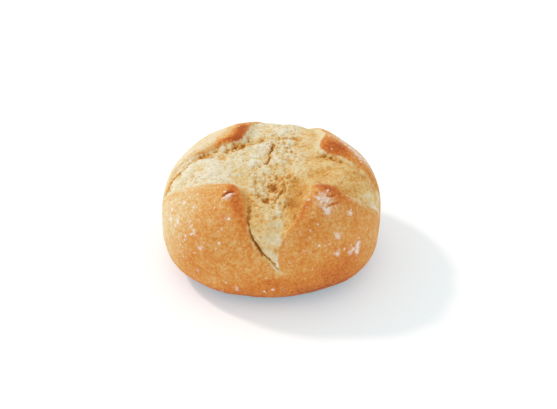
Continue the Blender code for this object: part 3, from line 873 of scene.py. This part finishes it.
def centred_in_plan(points):
    """The points, moved so that the middle of their box from above is at the origin."""
    middle = (points.min(axis=0) + points.max(axis=0)) / 2
    return points - middle * np.array([1.0, 1.0, 0.0])


def add_mesh(name, points, faces):
    """A mesh object from points and faces."""
    mesh = bpy.data.meshes.new(name)
    mesh.from_pydata(points, [], faces)
    mesh.update()
    piece = bpy.data.objects.new(name, mesh)
    bpy.context.scene.collection.objects.link(piece)
    return piece


def add_attribute(piece, name, values):
    """A number for each point of the mesh, which its material reads."""
    attribute = piece.data.attributes.new(name, "FLOAT", "POINT")
    attribute.data.foreach_set("value", values.astype(np.float32))


def make_roll():
    """The roll's whole skin as one closed mesh, flat where it rests.

    A point of the base lies on the floor, as far out as its polar angle, seen from the waist, puts it.
    """
    polar, azimuth, faces, above_base = build_skin()
    points, tones = skin(polar, azimuth)
    out, around = WAIST_HEIGHT * np.tan(math.pi - polar[above_base:]), azimuth[above_base:]
    points[above_base:] = np.stack([out * np.cos(around), out * np.sin(around), np.zeros(len(out))], axis=1)
    points[:, 2] = np.maximum(points[:, 2], 0.0)
    roll = add_mesh("bread_skin", centred_in_plan(points).tolist(), faces)
    roll.data.shade_smooth()
    for name, values in tones.items():
        add_attribute(roll, name, values)
    return roll


class Shade:
    """A shader socket that takes part in Python sums: each operator adds the Math node that works it out."""

    def __init__(self, tree, socket=None):
        self.tree = tree
        self.socket = socket

    def node(self, kind, settings, inputs, output=0):
        """Any node: its settings are set first, then the values or links of its sockets."""
        made = self.tree.nodes.new(kind)
        for name, value in settings.items():
            if name == "stops":
                self.set_stops(made.color_ramp, value)
            else:
                setattr(made, name, value)
        for name, value in inputs.items():
            if isinstance(value, Shade):
                self.tree.links.new(value.socket, made.inputs[name])
            else:
                made.inputs[name].default_value = value
        return Shade(self.tree, made.outputs[output])

    def set_stops(self, ramp, stops):
        """Places the stops of a colour ramp: (place, colour)."""
        while len(ramp.elements) < len(stops):
            ramp.elements.new(1.0)
        for element, (place, colour) in zip(ramp.elements, stops):
            element.position = place
            element.color = (*colour, 1.0)

    def maths(self, operation, first, second):
        """A Math node."""
        return self.node("ShaderNodeMath", {"operation": operation}, {0: first, 1: second})

    def __add__(self, other):
        return self.maths("ADD", self, other)

    def __radd__(self, other):
        return self.maths("ADD", other, self)

    def __sub__(self, other):
        return self.maths("SUBTRACT", self, other)

    def __rsub__(self, other):
        return self.maths("SUBTRACT", other, self)

    def __mul__(self, other):
        return self.maths("MULTIPLY", self, other)

    def __rmul__(self, other):
        return self.maths("MULTIPLY", other, self)

    def between(self, low, high):
        """0 below low and 1 above high, with an S-shaped rise between them."""
        return self.node(
            "ShaderNodeMapRange", {"interpolation_type": "SMOOTHSTEP"},
            {"Value": self, "From Min": low, "From Max": high},
        )

    def attribute(self, name):
        """The number of this name that each point of the mesh carries."""
        return self.node("ShaderNodeAttribute", {"attribute_name": name}, {}, "Fac")

    def noise(self, size, detail=2.0, roughness=0.5, stretch=0.0):
        """Noise from 0 to 1 at this place, with blotches of about this size in metres."""
        inputs = {"Vector": self, "Scale": 1.0 / size, "Detail": detail, "Roughness": roughness,
                  "Distortion": stretch}
        return self.node("ShaderNodeTexNoise", {}, inputs, "Fac")

    def speckles(self, strength, size, detail, roughness, stretch=0.0):
        """Noise about zero at this place: its strength times the noise less its mean."""
        return strength * (self.noise(size, detail, roughness, stretch) - 0.5)

    def wobbled(self, size, reach):
        """This place, moved about by noise of this size, by as much as reach."""
        inputs = {"Vector": self, "Scale": 1.0 / size, "Detail": 1.0}
        noise = self.node("ShaderNodeTexNoise", {}, inputs, "Color")
        factors = {0: noise, 1: (reach, reach, reach), 2: self}
        return self.node("ShaderNodeVectorMath", {"operation": "MULTIPLY_ADD"}, factors)

    def cups(self, spacing):
        """Cups side by side, one to each cell of this spacing: 0 in the middles, about 1 between them."""
        inputs = {"Vector": self, "Scale": 1.0 / spacing}
        return self.node("ShaderNodeTexVoronoi", {}, inputs, "Distance")

    def ramp(self, stops):
        """The colour that belongs to this number."""
        return self.node("ShaderNodeValToRGB", {"stops": stops}, {"Fac": self})

    def colour(self, red, green, blue):
        """One plain colour."""
        return self.node("ShaderNodeCombineColor", {}, {"Red": red, "Green": green, "Blue": blue})

    def mix(self, share, other):
        """This colour with a share of another."""
        return self.node("ShaderNodeMix", {"data_type": "RGBA"}, {0: share, 6: self, 7: other}, 2)


def crust_colour(place):
    """Baked crust, finely mottled, from cream through orange tan to dark reddish brown, with the painted
    light and shade that its bake tone also carries.
    """
    tone = place.attribute("bake") + place.speckles(*CRUST_SPECKLES) + place.speckles(*CRUST_BLOTCHES)
    return tone.ramp(CRUST_COLOURS)


def crumb_pitting(place):
    """How deep in the torn crumb's cups each place is: 1 less a share of each size of cup, times torn."""
    uneven_place = place.wobbled(*CUP_WOBBLE)
    depth = 1.0
    for spacing, share in CUPS:
        depth = depth - share * uneven_place.cups(spacing).between(*CUP_RISE)
    return place.attribute("torn") * depth


def crumb_colour(place, foam, pitted):
    """Torn crumb: cream on its high places, golden to amber where it is toasted, and painted shade from
    golden to amber where it is low.
    """
    low = HOLLOW_PAINTED_SHADE * place.attribute("hollow") + FOAM_PAINTED_SHADE * (0.5 - foam)
    low += PITTED_PAINTED_SHADE * (pitted - MEAN_PITTED * place.attribute("torn"))
    low += place.speckles(*CRUMB_BLOTCHES) + place.speckles(*CRUMB_SPECKLES)
    return (place.attribute("toast") + low).ramp(CRUMB_COLOURS)


def flour_and_highlight_cover(place):
    """How well flour covers each place, with the painted highlight on the crust tear's lip: the floury
    patches, broken up by speckles, and flecks in groups.
    """
    flecks = 1.0 - place.wobbled(*FLECK_WOBBLE).cups(FLECK_SPACING).between(*FLECK_RISE)
    flecks = flecks * place.noise(FLECK_GROUP_SIZE).between(*FLECK_GROUP_RISE)
    dust_and_highlight = place.attribute("flour") + place.speckles(*DUST_SPECKLES, DUST_STRETCH) + FLECK_DUST * flecks
    return DUST_COVER * dust_and_highlight.between(*DUST_RISE)


def new_material(name, finish):
    """A material, and its shader with these constant values."""
    material = bpy.data.materials.new(name)
    material.use_nodes = True
    shader = material.node_tree.nodes["Principled BSDF"]
    for socket, value in finish.items():
        shader.inputs[socket].default_value = value
    return material, shader


def bread_material():
    """Baked crust and torn crumb in one material, told apart by how far inside a lobe each point lies."""
    material, shader = new_material("baked bread", BREAD_FINISH)
    tree = material.node_tree
    place = Shade(tree).node("ShaderNodeTexCoord", {}, {}, "Object")
    crumb = (place.speckles(*EDGE_SPECKLES) - place.attribute("inset")).between(-EDGE_BLUR, EDGE_BLUR)
    crust = 1.0 - crumb
    foam = place.noise(*FOAM_NOISE).between(*FOAM_RISE)
    pitted = crumb_pitting(place)
    colour = crust_colour(place).mix(crumb, crumb_colour(place, foam, pitted))
    # Flour over the crust, which also draws the painted highlight on the tear's lip
    colour = colour.mix(flour_and_highlight_cover(place) * crust, place.colour(*FLOUR_AND_HIGHLIGHT_COLOUR))
    relief = GRAIN_BUMP * place.noise(*GRAIN_NOISE) * crust
    relief += (FOAM_BUMP * foam - PITTED_BUMP * pitted) * crumb
    bump = place.node("ShaderNodeBump", {}, {**BUMP, "Height": relief})
    tree.links.new(colour.socket, shader.inputs["Base Color"])
    tree.links.new(bump.socket, shader.inputs["Normal"])
    return material


def make_floor():
    """The plain white floor, which glows a little so that it stays white beside the shadow."""
    low, high = -FLOOR_HALF, FLOOR_HALF
    corners = [(low, low, 0), (high, low, 0), (high, high, 0), (low, high, 0)]
    floor = add_mesh("floor", corners, [(0, 1, 2, 3)])
    material, _ = new_material("white floor", FLOOR_FINISH)
    floor.data.materials.append(material)


def aim(obj, place, target):
    """Puts an object at a place, looking at a target."""
    direction = mathutils.Vector(target) - mathutils.Vector(place)
    obj.location = place
    obj.rotation_euler = direction.to_track_quat("-Z", "Y").to_euler()


def make_camera():
    """The camera, in front of the roll and above it."""
    camera = bpy.data.objects.new("camera", bpy.data.cameras.new("camera"))
    camera.data.lens = CAMERA_LENS
    camera.data.clip_start = CAMERA_NEAREST
    bpy.context.scene.collection.objects.link(camera)
    turn = math.radians(CAMERA_ELEVATION)
    away = mathutils.Vector((0.0, -math.cos(turn), math.sin(turn))) * CAMERA_DISTANCE
    aim(camera, mathutils.Vector(CAMERA_AIM) + away, CAMERA_AIM)
    bpy.context.scene.camera = camera


def make_lights():
    """A soft window-like light from the left and a little behind, and an even white sky."""
    light = bpy.data.lights.new("key", "AREA")
    light.shape = "DISK"
    light.size = KEY_SIZE
    light.energy = KEY_POWER
    key = bpy.data.objects.new("key", light)
    bpy.context.scene.collection.objects.link(key)
    turn = math.radians(KEY_ELEVATION)
    travel = mathutils.Vector((*KEY_TRAVEL, 0.0)).normalized() * math.cos(turn)
    aim(key, -KEY_DISTANCE * (travel - mathutils.Vector((0.0, 0.0, math.sin(turn)))), CAMERA_AIM)
    world = bpy.data.worlds.new("studio")
    world.use_nodes = True
    background = world.node_tree.nodes["Background"]
    background.inputs["Color"].default_value = (1.0, 1.0, 1.0, 1.0)
    background.inputs["Strength"].default_value = SKY_STRENGTH
    bpy.context.scene.world = world
    bpy.context.scene.view_settings.view_transform = "Standard"


def main():
    """The roll with its material, the floor, the camera and the light."""
    roll = make_roll()
    roll.data.materials.append(bread_material())
    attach(roll, "root")
    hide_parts("bread_roll")
    make_floor()
    make_camera()
    make_lights()


main()
